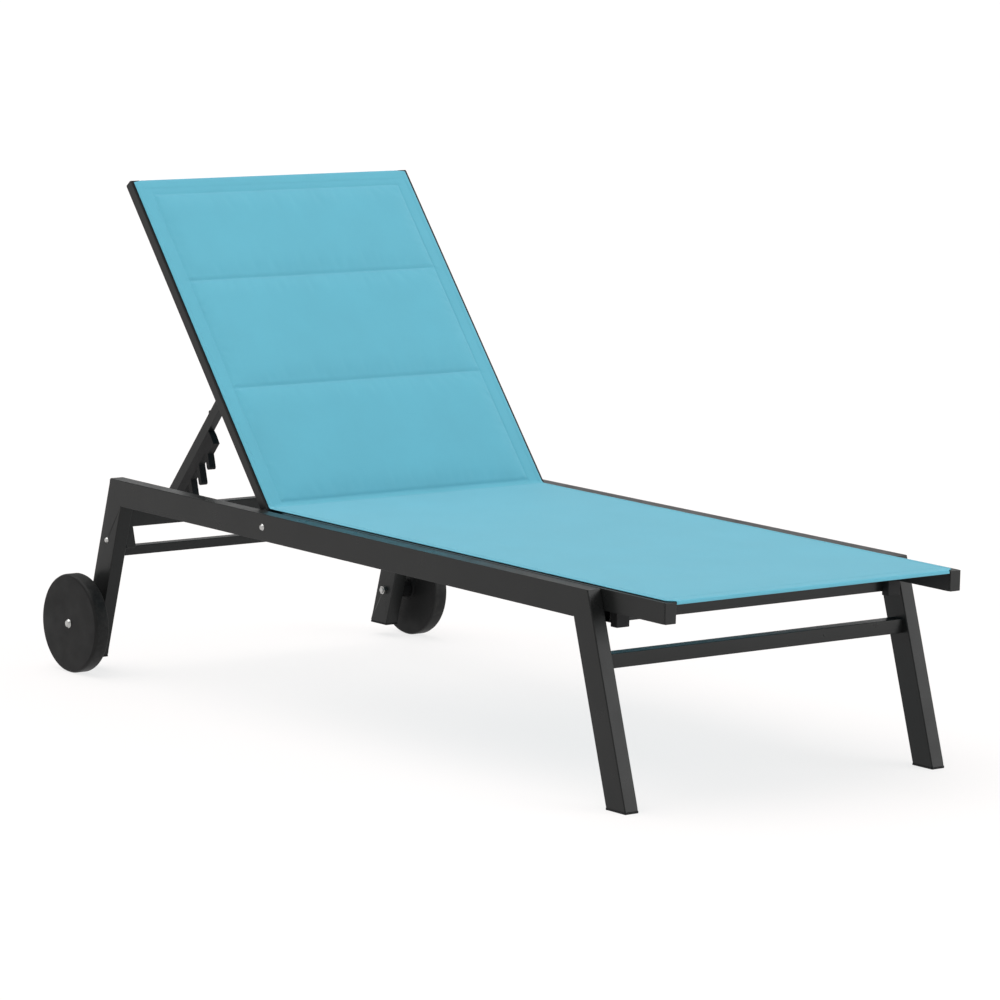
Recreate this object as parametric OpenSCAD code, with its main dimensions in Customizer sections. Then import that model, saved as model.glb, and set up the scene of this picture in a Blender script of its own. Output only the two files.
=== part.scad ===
// Reclining sun lounger: tube frame on two front feet and two rear wheels,
// a tight padded sling over seat and backrest, and a hooked prop that holds the backrest.
// X runs from the head end (-) to the foot end (+), Y across, Z up, floor at Z = 0. Millimetres.

/* [Side frames] */
// outside width over the two side frames
width = 700; // [600:1:760]
// height of the rail top above the foot line
rail_top = 350; // [300:1:420]
// depth of the side rail
rail_h = 48; // [40:1:60]
// thickness of the side frame tubes across the lounger
tube_t = 28; // [22:1:34]
// wall of the side frame tubes
wall = 2; // [1.2:0.1:3]
// rear corner of the rail
rail_rear = -711.4; // [-760:0.1:-660]
// front corner of the rail
rail_front = 688; // [640:0.1:740]
// width of the leg tubes measured along X
leg_w = 50; // [40:1:60]
// forward lean of the front legs, per unit of height
lean_front = 0.32; // [0.1:0.01:0.45]
// rearward lean of the rear legs, per unit of height
lean_rear = 0.27; // [0.1:0.01:0.45]
// rise of the rails toward the head end, degrees
tilt = 0.6; // [0:0.1:1]

/* [Cross tubes] */
// rear cross bar that the prop rests on: depth along X
bar_d = 22; // [18:1:30]
// rear cross bar height
bar_h = 33; // [25:1:40]
// underside of the rear cross bar
bar_z = 259; // [240:1:262]
// side of the square rear stretcher
rear_str = 20; // [16:1:24]
// underside of the front stretcher
front_str_z = 221.7; // [150:0.1:240]
// height of the front stretcher
front_str_h = 24.4; // [18:0.1:36]

/* [Seat] */
// height of the seat rails
seat_h = 35; // [28:1:40]
// thickness of the seat rails
seat_t = 23; // [18:1:26]
// front end of the seat rails with their caps
seat_front = 850.6; // [810:0.1:880]
// rear end of the seat rails
seat_rear = -205; // [-206:1:-180]
// half width of the sling on the seat
sling_half = 311; // [300:1:316]
// thickness of the sling
sling_t = 4; // [3:0.5:8]

/* [Backrest] */
// hinge bolt position along X
hinge_x = -224; // [-230:1:-220]
// hinge bolt height
hinge_z = 326; // [322:1:330]
// backrest angle above the side rails as drawn, degrees
back_angle = 50.64; // [48:0.01:54]
// length of the backrest from the hinge bolt to its top
back_len = 749.6; // [700:0.1:800]
// depth of the backrest tubes
back_h = 17; // [15:1:20]
// width of the backrest tubes
back_t = 20; // [16:1:22]
// half width over the backrest rails
back_half = 314.3; // [312:0.1:316]

/* [Prop] */
// distance of the prop pivot from the hinge along the backrest
pivot_along = 385.4; // [380:0.1:390]
// distance of the prop pivot below the hinge line of the backrest
pivot_below = 22.1; // [20:0.1:23]
// prop angle below the side rails as drawn, degrees
prop_angle = 51.07; // [50:0.01:52]
// depth of the prop arms
arm_h = 20; // [16:1:22]
// thickness of the prop arms
arm_t = 14; // [10:1:16]
// outer face of the prop arms from the centre line
arm_out = 202.5; // [180:0.5:220]
// spacing of the rack slots
pitch = 41; // [38:0.1:46]
// thickness of the rack hooks
hook_w = 9.5; // [7:0.5:10]

/* [Wheels] */
// wheel radius
wheel_r = 92; // [70:1:110]
// wheel thickness
wheel_t = 32; // [24:1:40]
// gap between leg and wheel
wheel_gap = 24; // [12:1:30]
// axle bolt radius
axle_r = 5; // [4:0.5:8]

/* [Hidden] */
half_w = width / 2;
in_y = half_w - tube_t;
rail_bot = rail_top - rail_h;
foot_x = rail_front + lean_front * rail_top;
front_in = rail_front + lean_front * rail_h - leg_w;
rear_in = rail_rear - lean_rear * rail_h + leg_w;
foot_t = 4;
stub_x = -724;
end_z0 = bar_z - 40;
seat_top = rail_top + 0.4;
seat_bot = seat_top - seat_h;
seat_out = in_y - 0.6;
seat_in = seat_out - seat_t;
cap_t = 3;
back_top_n = -12.9;
back_bot_n = back_top_n - back_h;
back_in = back_half - back_t;
arm_in = arm_out - arm_t;
arm_end = -392;
eye_r = 9;
hook_dx = -0.608;
hook_dz = -0.794;
hook_l = 31;
slot_z = -28.9;
slot1_x = -263;
axle_x = -759.9;
axle_z = 75.67;
wheel_y0 = half_w + wheel_gap;
bore_gap = 0.05;
screw_z = 233;
screw_x = -720.3;
seat_bolt_x = [-150, 190, 560];
rear_foot_x = rail_rear - lean_rear * rail_top;
rear_cut = 27;
shift_x = -2.03;

frame_grey = [0.23, 0.24, 0.24];
black = [0.1, 0.1, 0.1];
steel = [0.7, 0.7, 0.7];
turquoise = [0.3, 0.68, 0.8];

// leans the whole frame back onto the floor around the front foot line
module on_floor() {
    translate([foot_x + shift_x, 0, 0])
        rotate([0, tilt, 0])
            translate([-foot_x, 0, 0])
                children();
}

// places parts drawn for a flat backrest, X from the hinge and Z from the hinge line
module on_back() {
    on_floor()
        translate([hinge_x, 0, hinge_z])
            rotate([0, back_angle, 0])
                children();
}

// places parts drawn for a flat prop, X from the pivot
module on_prop() {
    on_back()
        translate([-pivot_along, 0, -pivot_below])
            rotate([0, -back_angle - prop_angle, 0])
                children();
}

// block from y0 to y1 on the positive side
module blk(x0, x1, y0, y1, z0, z1) {
    translate([x0, y0, z0]) cube([x1 - x0, y1 - y0, z1 - z0]);
}

// plate drawn in X and Z, standing from y0 to y1
module plate(y0, y1) {
    translate([0, y1, 0])
        rotate([90, 0, 0])
            linear_extrude(height = y1 - y0)
                children();
}

// round bar along Y from y0 to y1
module bar_y(x, z, r, y0, y1) {
    translate([x, y0, z])
        rotate([-90, 0, 0])
            cylinder(r = r, h = y1 - y0, $fn = 48);
}

// open rectangular tube along X
module tube_x(x0, x1, y0, y1, z0, z1, w) {
    difference() {
        blk(x0, x1, y0, y1, z0, z1);
        blk(x0 - 1, x1 + 1, y0 + w, y1 - w, z0 + w, z1 - w);
    }
}

// open rectangular tube along Y, centred on the lounger
module tube_y(x0, x1, half, z0, z1, w) {
    difference() {
        blk(x0, x1, -half, half, z0, z1);
        blk(x0 + w, x1 - w, -half - 1, half + 1, z0 + w, z1 - w);
    }
}

module both_sides() {
    children();
    mirror([0, 1, 0]) children();
}

module right_side() {
    mirror([0, 1, 0]) children();
}

// side rail, mitred to both legs
module rail_shape() {
    difference() {
        plate(in_y, half_w)
            polygon([[rail_rear, rail_top], [rail_front, rail_top], [front_in, rail_bot],
                [rear_in, rail_bot]]);
        blk(rail_rear - 5, rail_front + 5, in_y + wall, half_w - wall, rail_bot + wall, rail_top - wall);
        bar_y(hinge_x, hinge_z, 4.1, in_y - 1, half_w + 1);
        for (sx = seat_bolt_x) {
            bar_y(sx, seat_bot + 14, 3.1, in_y - 1, in_y + wall + 1);
        }
    }
}

module outer_rail_l() {
    color(frame_grey) on_floor() rail_shape();
}

module outer_rail_r() {
    color(frame_grey) on_floor() right_side() rail_shape();
}

// front leg, leaning forward, cut level just above its foot
module front_leg_shape() {
    difference() {
        plate(in_y, half_w)
            polygon([[rail_front, rail_top], [foot_x, 0], [foot_x - leg_w, 0], [front_in, rail_bot]]);
        plate(in_y + wall, half_w - wall)
            polygon([[rail_front - 2.1, rail_top + 1], [foot_x - 2.1, -1], [foot_x - leg_w + 2.1, -1],
                [front_in - 7.5, rail_bot + 30]]);
        translate([foot_x, 0, 0])
            rotate([0, -tilt, 0])
                blk(-90, 40, 0, half_w + 10, -20, foot_t);
    }
}

module front_leg_l() {
    color(frame_grey) on_floor() front_leg_shape();
}

module front_leg_r() {
    color(frame_grey) on_floor() right_side() front_leg_shape();
}

// rear leg, leaning back, with the axle bore
module rear_leg_shape() {
    difference() {
        plate(in_y, half_w)
            polygon([[rail_rear, rail_top], [rear_in, rail_bot], [rear_foot_x + leg_w, 0], [rear_foot_x, 0]]);
        plate(in_y + wall, half_w - wall)
            polygon([[rail_rear + 2.1, rail_top + 1], [rear_in + 6, rail_bot + 30],
                [rear_foot_x + leg_w - 2.1, -1], [rear_foot_x + 2.1, -1]]);
        translate([foot_x, 0, 0])
            rotate([0, -tilt, 0])
                blk(-1680, -1480, 0, half_w + 10, -40, rear_cut);
        bar_y(axle_x, axle_z, axle_r + 0.1, in_y - 1, half_w + 1);
        bar_y(screw_x, screw_z, 3.1, in_y - 1, half_w + 1);
    }
}

module rear_leg_l() {
    color(frame_grey) on_floor() rear_leg_shape();
}

module rear_leg_r() {
    color(frame_grey) on_floor() right_side() rear_leg_shape();
}

// plastic plugs closing the tube ends at the floor, flat on the floor
module front_feet() {
    color(black) both_sides()
        translate([foot_x + shift_x, 0, 0]) {
            blk(-leg_w - 1.2, -1, in_y, half_w, 0, foot_t);
            blk(-leg_w + 1.5, -7.5, in_y + 2.3, half_w - 2.3, foot_t, foot_t + 11);
        }
}

module rear_feet() {
    color(black) both_sides()
        translate([foot_x - 1578.2 + shift_x, 0, rear_cut]) {
            blk(-leg_w / 2, leg_w / 2, in_y, half_w, -4, 0);
            blk(-leg_w / 2 + 6, leg_w / 2 - 3, in_y + 2.3, half_w - 2.3, 0, 11);
        }
}

module front_stretcher() {
    color(frame_grey) on_floor()
        tube_y(688, 713, in_y, front_str_z, front_str_z + front_str_h, 1.6);
}

module rear_stretcher() {
    color(frame_grey) on_floor()
        tube_y(stub_x - rear_str / 2, stub_x + rear_str / 2, in_y, end_z0 - 17, end_z0, 1.6);
}

// rear cross bar, taken by the prop
module rest_bar() {
    color(frame_grey) on_floor()
        tube_y(-715, -715 + bar_d, in_y, bar_z, bar_z + bar_h, 1.6);
}

// wedge blocks that tie the two rear cross tubes together and take the leg screws
module rear_end_blocks() {
    color(frame_grey) on_floor() both_sides()
        difference() {
            translate([-732, 0, 0])
                rotate([90, 0, 90])
                    linear_extrude(height = 36)
                        polygon([[in_y, bar_z], [308, bar_z], [300.5, end_z0], [in_y, end_z0]]);
            bar_y(screw_x, screw_z, 3.1, 290, in_y + 1);
        }
}

module rear_leg_screws() {
    color(steel) on_floor() both_sides() {
        bar_y(screw_x, screw_z, 3, 304, half_w);
        translate([screw_x, half_w, screw_z])
            rotate([-90, 0, 0])
                cylinder(r1 = 5.5, r2 = 3.6, h = 2.4, $fn = 48);
    }
}

// seat side rail with bolt holes
module seat_rail_shape() {
    difference() {
        tube_x(seat_rear, seat_front - cap_t, seat_in, seat_out, seat_bot, seat_top, 1.6);
        for (sx = seat_bolt_x) {
            bar_y(sx, seat_bot + 14, 3.1, seat_in - 1, seat_out + 1);
        }
    }
}

module seat_rail_l() {
    color(frame_grey) on_floor() seat_rail_shape();
}

module seat_rail_r() {
    color(frame_grey) on_floor() right_side() seat_rail_shape();
}

// caps with a flange the size of the tube and a plug inside it
module seat_front_caps() {
    color(frame_grey) on_floor() both_sides() {
        blk(seat_front - cap_t, seat_front, seat_in, seat_out, seat_bot, seat_top);
        blk(seat_front - cap_t - 10, seat_front - cap_t, seat_in + 1.9, seat_out - 1.9,
            seat_bot + 1.9, seat_top - 1.9);
    }
}

module seat_rear_caps() {
    color(black) on_floor() both_sides() {
        blk(seat_rear - 2, seat_rear, seat_in, seat_out, seat_bot, seat_top);
        blk(seat_rear, seat_rear + 10, seat_in + 1.9, seat_out - 1.9, seat_bot + 1.9, seat_top - 1.9);
    }
}

// flat bar between the seat rail ends that holds the foot hem of the sling
module foot_hem_bar() {
    color(frame_grey) on_floor() blk(826, 848, -seat_in, seat_in, rail_top - 3.6, rail_top + 0.4);
}

module seat_front_tube() {
    color(frame_grey) on_floor() tube_y(678, 700, 310, 295, seat_bot, 1.6);
}

module seat_mid_tube() {
    color(frame_grey) on_floor() tube_y(255, 280, seat_in, seat_bot, seat_bot + 20, 1.6);
}

module seat_rear_tube() {
    color(frame_grey) on_floor() tube_y(-195, -170, seat_in, seat_bot, seat_bot + 20, 1.6);
}

// black blocks under the seat rails beside the front legs
module stacking_blocks() {
    color(black) on_floor() both_sides() blk(700, 716, 283, 310, 288.5, seat_bot);
}

// bolts from the seat rails into the side rails
module seat_bolts() {
    color(steel) on_floor() both_sides()
        for (sx = seat_bolt_x) {
            bar_y(sx, seat_bot + 14, 3, seat_in, in_y + wall);
            bar_y(sx, seat_bot + 14, 5.5, seat_in - 2.8, seat_in);
        }
}

// hinge bolt with its low domed head outside and a nut inside
module hinge_bolts() {
    color(steel) on_floor() both_sides() {
        bar_y(hinge_x, hinge_z, 4, back_in + 12, half_w);
        translate([hinge_x, half_w, hinge_z])
            rotate([-90, 0, 0])
                cylinder(r1 = 6.2, r2 = 4.2, h = 2.6, $fn = 48);
        translate([hinge_x, back_in + 12, hinge_z])
            rotate([90, 0, 0])
                cylinder(r = 7, h = 5.5, $fn = 6);
    }
}

module hinge_washers() {
    color(black) on_floor() both_sides()
        difference() {
            bar_y(hinge_x, hinge_z, 8, in_y - 1.2, in_y);
            bar_y(hinge_x, hinge_z, 4.1, 319, in_y + 1);
        }
}

// axle bolt through leg, spacer and wheel
module axle_bolts() {
    color(steel) on_floor() both_sides() {
        bar_y(axle_x, axle_z, axle_r, in_y - 9, wheel_y0 + wheel_t + 0.5);
        translate([axle_x, wheel_y0 + wheel_t + 0.5, axle_z])
            rotate([-90, 0, 0])
                cylinder(r1 = 8.5, r2 = 6, h = 3.2, $fn = 48);
    }
}

module axle_nuts() {
    color(steel) on_floor() both_sides()
        difference() {
            translate([axle_x, in_y, axle_z])
                rotate([90, 0, 0])
                    cylinder(r = 8.5, h = 7, $fn = 6);
            bar_y(axle_x, axle_z, axle_r + 0.1, in_y - 10, in_y + 1);
        }
}

module wheel_spacers() {
    color(black) on_floor() both_sides()
        difference() {
            bar_y(axle_x, axle_z, 17, half_w, wheel_y0 - 0.5);
            bar_y(axle_x, axle_z, axle_r + 0.1, half_w - 1, wheel_y0 + 1);
        }
}

// seat part of the sling: a thin sheet over the rails, hemmed over the foot tube
module seat_sling() {
    color(turquoise) on_floor() {
        blk(-245, 848.4, -sling_half, sling_half, rail_top + 0.7, rail_top + 0.7 + sling_t);
        blk(848.4, 851.4, -297.8, 297.8, 345.5, rail_top + 0.7 + sling_t);
    }
}

module back_rail_shape() {
    difference() {
        tube_x(-back_len + 2, -12, back_in, back_half, back_bot_n, back_top_n, 1.6);
        for (rx = [-27, -39]) {
            bar_y(rx, back_top_n - back_h / 2, 2.1, back_half - 3, back_half + 1);
        }
    }
}

module back_rail_l() {
    color(frame_grey) on_back() back_rail_shape();
}

module back_rail_r() {
    color(frame_grey) on_back() right_side() back_rail_shape();
}

module back_top_tube() {
    color(frame_grey) on_back() tube_y(-back_len + 2, -back_len + 22, back_in, back_bot_n, back_top_n, 1.6);
}

module back_mid_tube() {
    color(frame_grey) on_back() tube_y(-362, -340, back_in, back_bot_n, back_top_n, 1.6);
}

module back_low_tube() {
    color(frame_grey) on_back() tube_y(-46, -26, back_in, back_bot_n, back_top_n, 1.6);
}

module back_top_caps() {
    color(black) on_back() both_sides() {
        blk(-back_len, -back_len + 2, back_in, back_half, back_bot_n, back_top_n);
        blk(-back_len + 2, -back_len + 12, back_in + 1.9, back_half - 1.9,
            back_bot_n + 1.9, back_top_n - 1.9);
    }
}

module back_end_caps() {
    color(black) on_back() both_sides() {
        blk(-12, -10, back_in, back_half, back_bot_n, back_top_n);
        blk(-22, -12, back_in + 1.9, back_half - 1.9, back_bot_n + 1.9, back_top_n - 1.9);
    }
}

// plate from the backrest rail forward to the hinge bolt
module hinge_plate_shape() {
    difference() {
        union() {
            bar_y(0, 0, 15, back_half, 320);
            plate(back_half, 320)
                polygon([[0, 15], [-12, 9], [-24, back_top_n - 0.5], [-44, back_top_n - 1],
                    [-44, back_bot_n + 1], [-12, back_bot_n + 1], [-4, -14.4]]);
        }
        bar_y(0, 0, 4 + bore_gap, back_half - 1, 322);
        for (rx = [-27, -39]) {
            bar_y(rx, back_top_n - back_h / 2, 2.1, back_half - 1, 322);
        }
    }
}

module hinge_plate_l() {
    color(frame_grey) on_back() hinge_plate_shape();
}

module hinge_plate_r() {
    color(frame_grey) on_back() right_side() hinge_plate_shape();
}

module hinge_plate_rivets() {
    color(steel) on_back() both_sides()
        for (rx = [-27, -39]) {
            bar_y(rx, back_top_n - back_h / 2, 2, back_half - 2.5, 320);
            bar_y(rx, back_top_n - back_h / 2, 3.6, 320, 321.1);
        }
}

// ears on the middle tube that hold the prop pivots
module prop_brackets() {
    color(frame_grey) on_back() both_sides()
        for (by = [arm_in - 4, arm_out + 1]) {
            difference() {
                union() {
                    blk(-pivot_along, -362, by, by + 3, -31, back_top_n);
                    bar_y(-pivot_along, -pivot_below, 9.1, by, by + 3);
                }
                bar_y(-pivot_along, -pivot_below, 4.1, by - 1, by + 4);
            }
        }
}

module prop_pivot_bolts() {
    color(steel) on_back() both_sides() {
        bar_y(-pivot_along, -pivot_below, 4, arm_in - 5, arm_out + 4);
        bar_y(-pivot_along, -pivot_below, 6.5, arm_out + 4, arm_out + 7);
        translate([-pivot_along, arm_in - 4, -pivot_below])
            rotate([90, 0, 0])
                cylinder(r = 7, h = 5, $fn = 6);
    }
}

module back_sling() {
    color(turquoise) on_back()
        blk(-back_len + 0.5, -35, -309.3, 309.3, back_top_n + 0.3, back_top_n + 0.3 + sling_t);
}

// prop arm: bar that narrows a little to a round eye at the pivot
module arm_shape() {
    difference() {
        union() {
            blk(arm_end, -25, arm_in, arm_out, -arm_h / 2, arm_h / 2);
            plate(arm_in, arm_out)
                polygon([[-25, arm_h / 2], [0, eye_r], [0, -eye_r], [-25, -arm_h / 2]]);
            bar_y(0, 0, eye_r, arm_in, arm_out);
        }
        bar_y(0, 0, 4 + bore_gap, arm_in - 1, arm_out + 1);
        bar_y(-180, arm_h / 2 - 1.5, 4.05, arm_in - 1, arm_out + 1);
        for (sx = [-230, -345]) {
            translate([sx, (arm_in + arm_out) / 2, -arm_h / 2 - 1])
                cylinder(r = 2.6, h = arm_h + 2, $fn = 32);
        }
    }
}

module prop_arm_l() {
    color(frame_grey) on_prop() arm_shape();
}

module prop_arm_r() {
    color(frame_grey) on_prop() right_side() arm_shape();
}

// one hook of the rack, pointing down at the bar
module hook(k) {
    rx = slot1_x + pitch / 2 - k * pitch;
    tx = rx + hook_l * hook_dx;
    tz = slot_z + hook_l * hook_dz;
    plate(arm_in, arm_out)
        polygon([[rx - hook_w * 0.63, slot_z + 2], [rx + hook_w * 0.63, slot_z + 2],
            [tx + hook_w * 0.397, tz - hook_w * 0.304], [tx - hook_w * 0.397, tz + hook_w * 0.304]]);
    bar_y(tx, tz, hook_w / 2, arm_in, arm_out);
}

// hooked rack screwed under the arm, its last seat cut clear of the rear bar
module rack_shape() {
    difference() {
        union() {
            plate(arm_in, arm_out)
                polygon([[-210, -arm_h / 2], [-211, -20], [-216, -37.5], [-243, -37], [-251, slot_z],
                    [arm_end - 2, slot_z], [arm_end - 2, -arm_h / 2]]);
            hook(0);
            hook(1);
            hook(2);
            hook(3);
        }
        for (sx = [-230, -345]) {
            translate([sx, (arm_in + arm_out) / 2, -arm_h / 2 - 13])
                cylinder(r = 2.1, h = 20, $fn = 32);
        }
    }
}

// cutter that keeps the rack above the rear bar, drawn level on the floor frame
module bar_clear() {
    translate([-715, 0, 294])
        rotate([0, -8.5, 0])
            blk(-60, 80, 150, 250, -80, 0);
}

module rack_l() {
    color(black) difference() {
        on_prop() rack_shape();
        on_floor() bar_clear();
    }
}

module rack_r() {
    color(black) difference() {
        on_prop() right_side() rack_shape();
        on_floor() right_side() bar_clear();
    }
}

module rack_screws() {
    color(steel) on_prop() both_sides()
        for (sx = [-230, -345]) {
            translate([sx, (arm_in + arm_out) / 2, -arm_h / 2 - 11])
                cylinder(r = 2, h = arm_h + 11, $fn = 32);
            translate([sx, (arm_in + arm_out) / 2, arm_h / 2])
                cylinder(r1 = 4.2, r2 = 3, h = 2.2, $fn = 32);
        }
}

// rod let into the backs of both arms and welded there
module prop_cross_rod() {
    color(frame_grey) on_prop() bar_y(-180, arm_h / 2 - 1.5, 4, -arm_out, arm_out);
}

// plain disc wheel with rounded rims and a bore for the axle bolt
module wheel_shape() {
    translate([axle_x, wheel_y0, axle_z])
        rotate([-90, 0, 0])
            rotate_extrude($fn = 96)
                polygon([[axle_r + bore_gap, 0], [22, 0], [23, 1.2], [wheel_r - 4.5, 1.2],
                    [wheel_r - 1.6, 2.6], [wheel_r, 6], [wheel_r, wheel_t - 6],
                    [wheel_r - 1.6, wheel_t - 2.2], [wheel_r - 4.5, wheel_t],
                    [axle_r + bore_gap, wheel_t]]);
}

module wheel_l() {
    color(black) on_floor() wheel_shape();
}

module wheel_r() {
    color(black) on_floor() right_side() wheel_shape();
}

outer_rail_r();
outer_rail_l();
front_leg_r();
front_leg_l();
rear_leg_r();
rear_leg_l();
front_feet();
rear_feet();
front_stretcher();
rear_stretcher();
rest_bar();
rear_end_blocks();
rear_leg_screws();
seat_rail_r();
seat_rail_l();
seat_front_caps();
seat_rear_caps();
foot_hem_bar();
seat_front_tube();
seat_mid_tube();
seat_rear_tube();
stacking_blocks();
seat_bolts();
hinge_bolts();
hinge_washers();
axle_bolts();
axle_nuts();
wheel_spacers();
seat_sling();
back_rail_r();
back_rail_l();
back_top_tube();
back_mid_tube();
back_low_tube();
back_top_caps();
back_end_caps();
hinge_plate_r();
hinge_plate_l();
hinge_plate_rivets();
prop_brackets();
prop_pivot_bolts();
back_sling();
prop_arm_r();
prop_arm_l();
rack_r();
rack_l();
rack_screws();
prop_cross_rod();
wheel_r();
wheel_l();
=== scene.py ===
"""Reclining sun lounger: finishes, padded sling, floor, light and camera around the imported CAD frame."""
import bmesh
import bpy
import math
import random
import numpy as np
from mathutils import Matrix, Vector
from mathutils.bvhtree import BVHTree


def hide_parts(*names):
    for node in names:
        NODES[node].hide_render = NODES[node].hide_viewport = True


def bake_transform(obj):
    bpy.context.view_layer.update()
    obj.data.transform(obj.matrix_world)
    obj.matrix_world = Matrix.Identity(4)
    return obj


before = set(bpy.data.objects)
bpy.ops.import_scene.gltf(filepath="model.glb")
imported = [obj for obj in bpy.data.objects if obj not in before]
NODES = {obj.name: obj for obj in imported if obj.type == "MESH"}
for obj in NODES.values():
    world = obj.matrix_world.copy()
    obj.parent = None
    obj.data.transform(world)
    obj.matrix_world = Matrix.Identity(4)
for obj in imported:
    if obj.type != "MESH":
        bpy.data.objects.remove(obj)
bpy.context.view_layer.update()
MM = 0.001

# ------------------------------------------------------------------ places
# The CAD source draws the lounger level, in millimetres, and then tilts it about the front foot line.
TILT = math.radians(0.6)
FOOT_X, SHIFT_X = 800.0, -2.03      # the tilt line, and the shift that centres the tilted box
HINGE = (-224.0, 326.0)             # backrest hinge, x and z
BACK = math.radians(50.64)          # backrest over the seat line, as drawn
PROP = math.radians(-51.07)         # prop arms, as drawn
AXLE = (-759.9, 75.67)              # wheel axle, x and z
FRONT_RAKE, REAR_RAKE = 0.32, 0.27  # how far each leg leans for one of height


def floor_xz(x, z):
    """Drawing millimetres to metres in the row frame."""
    c, s = math.cos(TILT), math.sin(TILT)
    return ((x - FOOT_X) * c + z * s + FOOT_X + SHIFT_X) * MM, (-(x - FOOT_X) * s + z * c) * MM


def back_xz(along, n):
    """A point of the flat backrest drawing (distance from the hinge, height over the hinge line)."""
    c, s = math.cos(BACK), math.sin(BACK)
    return HINGE[0] - along * c + n * s, HINGE[1] + along * s + n * c


# ------------------------------------------------------------------ camera
AZIMUTH, ELEVATION, ROLL = math.radians(51.967), math.radians(8.171), math.radians(0.977)
CAMERA_PLACE = (6.57977, -5.1395, 1.5856)
LENS, SENSOR = 171.63, 36.0


def make_camera():
    """A camera at the photograph's viewing angle, distance and roll."""
    az, el, roll = AZIMUTH, ELEVATION, ROLL
    back = Vector((math.sin(az) * math.cos(el), -math.cos(az) * math.cos(el), math.sin(el)))
    right = Vector((math.cos(az), math.sin(az), 0))
    up = back.cross(right)
    x = right * math.cos(roll) + up * math.sin(roll)
    y = up * math.cos(roll) - right * math.sin(roll)
    data = bpy.data.cameras.new("camera")
    data.lens, data.sensor_width = LENS, SENSOR
    data.clip_start, data.clip_end = 0.1, 300
    cam = bpy.data.objects.new("camera", data)
    bpy.context.scene.collection.objects.link(cam)
    m = Matrix((x, y, back)).transposed().to_4x4()
    m.translation = Vector(CAMERA_PLACE)
    cam.matrix_world = m
    bpy.context.scene.camera = cam


make_camera()


# ------------------------------------------------------------------ node helpers
class Nodes:
    """A small builder for one node tree."""

    def __init__(self, tree):
        self.tree = tree

    def node(self, kind, **values):
        n = self.tree.nodes.new(kind)
        for k, v in values.items():
            setattr(n, k, v)
        return n

    def link(self, a, b):
        self.tree.links.new(a, b)

    def put(self, socket, value):
        if isinstance(value, bpy.types.NodeSocket):
            self.link(value, socket)
        else:
            socket.default_value = value

    def math(self, op, a, b=0.0):
        n = self.node("ShaderNodeMath", operation=op)
        self.put(n.inputs[0], a)
        self.put(n.inputs[1], b)
        return n.outputs[0]

    def range(self, value, a, b, c, d, **values):
        """Maps a..b to c..d, held at the ends."""
        n = self.node("ShaderNodeMapRange", **values)
        self.link(value, n.inputs[0])
        for i, v in enumerate((a, b, c, d)):
            n.inputs[i + 1].default_value = v
        return n.outputs[0]

    def dot(self, vector, way):
        """How far a vector points along a fixed direction."""
        n = self.node("ShaderNodeVectorMath", operation="DOT_PRODUCT")
        self.link(vector, n.inputs[0])
        n.inputs[1].default_value = way
        return n.outputs["Value"]

    def coords(self, which="Object"):
        return self.node("ShaderNodeTexCoord").outputs[which]

    def split(self, vector):
        n = self.node("ShaderNodeSeparateXYZ")
        self.link(vector, n.inputs[0])
        return n.outputs


class Mat(Nodes):
    """A node material on a Principled shader."""

    def __init__(self, name):
        self.material = bpy.data.materials.new(name)
        self.material.use_nodes = True
        super().__init__(self.material.node_tree)
        self.shader = self.tree.nodes["Principled BSDF"]

    def noise(self, vector, scale, detail=3.0, rough=0.5):
        n = self.node("ShaderNodeTexNoise")
        self.link(vector, n.inputs["Vector"])
        n.inputs["Scale"].default_value = scale
        n.inputs["Detail"].default_value = detail
        n.inputs["Roughness"].default_value = rough
        return n.outputs["Fac"]

    def ramp(self, fac, stops):
        n = self.node("ShaderNodeValToRGB")
        self.link(fac, n.inputs[0])
        e = n.color_ramp.elements
        while len(e) < len(stops):
            e.new(0.5)
        for el, (pos, col) in zip(e, stops):
            el.position = pos
            el.color = (*col, 1)
        return n.outputs[0]

    def mix(self, fac, base, over):
        """Lays a fixed colour over a base colour by fac."""
        n = self.node("ShaderNodeMix", data_type="RGBA")
        self.put(n.inputs[0], fac)
        self.put(n.inputs[MIX_A], base)
        self.put(n.inputs[MIX_B], (*over, 1))
        return n.outputs[MIX_OUT]

    def look(self, base, roughness, gloss):
        """Base colour and roughness from the tree, specular level on the shader's own socket."""
        self.link(base, self.shader.inputs["Base Color"])
        self.link(roughness, self.shader.inputs["Roughness"])
        self.shader.inputs["Specular IOR Level"].default_value = gloss

    def bump(self, height, strength, distance):
        n = self.node("ShaderNodeBump")
        self.link(height, n.inputs["Height"])
        n.inputs["Strength"].default_value = strength
        n.inputs["Distance"].default_value = distance
        self.link(n.outputs[0], self.shader.inputs["Normal"])

    def uv(self):
        return self.node("ShaderNodeUVMap", uv_map="cloth").outputs[0]


MIX_A, MIX_B, MIX_OUT = 6, 7, 2     # the colour sockets of a Mix node


def shade(tone, factor, plus=0.0):
    """A tone made lighter or darker."""
    return tuple(t * factor + plus for t in tone)


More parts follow.
